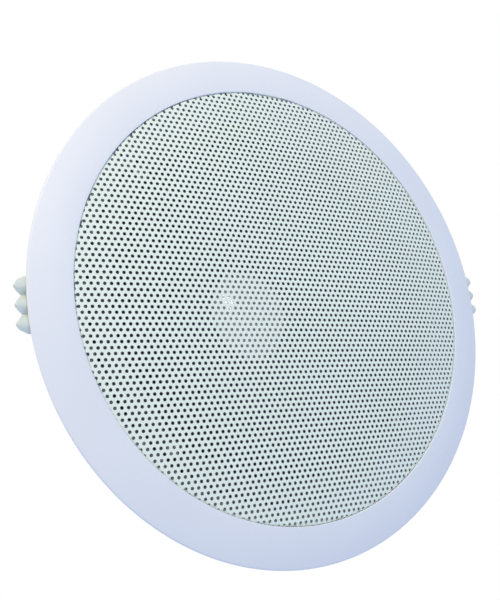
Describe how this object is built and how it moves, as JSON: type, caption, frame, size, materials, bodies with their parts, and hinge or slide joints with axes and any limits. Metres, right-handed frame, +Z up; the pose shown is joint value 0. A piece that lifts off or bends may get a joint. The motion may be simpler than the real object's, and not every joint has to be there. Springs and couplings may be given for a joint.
{
  "type": "in ceiling speaker",
  "caption": "Round flush ceiling loudspeaker: white moulded bezel, domed perforated grille, full-range cone driver and sprung dog-leg clips.",
  "frame": {"origin": "on the speaker's axis, in the plane of the flange's back, which seats on the ceiling's underside", "axes": "+Z up along the axis into the ceiling void, the grille faces -Z; +X through the two clips"},
  "size_m": [0.2254, 0.218, 0.0778],
  "materials": {
    "bezel_plastic": "satin white moulding",
    "clip_plastic": "pale grey-white moulding",
    "grille_paint": "white powder coat",
    "basket_paint": "black paint",
    "gasket_foam": "dark foam",
    "screw_zinc": "bright zinc plate",
    "cone_paper": "matt black paper pulp",
    "cap_foil": "polished foil dome",
    "surround_foam": "matt black foam",
    "spider_cloth": "resin-stiffened cloth",
    "former_film": "amber film",
    "coil_copper": "enamelled copper wire",
    "motor_steel": "yellow zinc plate",
    "magnet_ferrite": "ground ferrite",
    "board_fibre": "brown fibre board",
    "tab_brass": "tinned brass",
    "lead_braid": "braided copper",
    "pin_steel": "bright steel",
    "spring_steel": "drawn spring wire"
  },
  "bodies": {
    "housing": {"bezel": "bezel_plastic", "grille": "grille_paint", "driver_basket": "basket_paint", "driver_gasket": "gasket_foam", "driver_screws": "screw_zinc", "surround": "surround_foam", "spider": "spider_cloth", "top_plate": "motor_steel", "magnet": "magnet_ferrite", "back_plate": "motor_steel", "terminal_board": "board_fibre", "terminal_tab_left": "tab_brass", "terminal_tab_right": "tab_brass", "tinsel_lead_left": "lead_braid", "tinsel_lead_right": "lead_braid", "clip_pin_left": "pin_steel", "clip_pin_right": "pin_steel", "clip_spring_left": "spring_steel", "clip_spring_right": "spring_steel"},
    "cone_assembly": {"cone": "cone_paper", "dust_cap": "cap_foil", "voice_coil_former": "former_film", "voice_coil_winding": "coil_copper"},
    "clip_left": {"clip_arm_left": "clip_plastic"},
    "clip_right": {"clip_arm_right": "clip_plastic"}
  },
  "joints": [
    {"name": "cone_excursion", "type": "slide", "parent": "housing", "child": "cone_assembly", "axis": [0, 0, -1], "range_m": [-0.003, 0.003], "stiffness_N_per_m": 1500, "deforming": ["surround", "spider", "tinsel_lead_left", "tinsel_lead_right"]},
    {"name": "clip_left_swing", "type": "hinge", "parent": "housing", "child": "clip_left", "pos_m": [-0.09108, 0, 0.01508], "axis": [0, 1, 0], "range_deg": [0, 130], "stiffness_Nm_per_rad": 0.05, "springref_deg": -34.38, "deforming": ["clip_spring_left"]},
    {"name": "clip_right_swing", "type": "hinge", "parent": "housing", "child": "clip_right", "pos_m": [0.09108, 0, 0.01508], "axis": [0, -1, 0], "range_deg": [0, 130], "stiffness_Nm_per_rad": 0.05, "springref_deg": -34.38, "deforming": ["clip_spring_right"]}
  ]
}
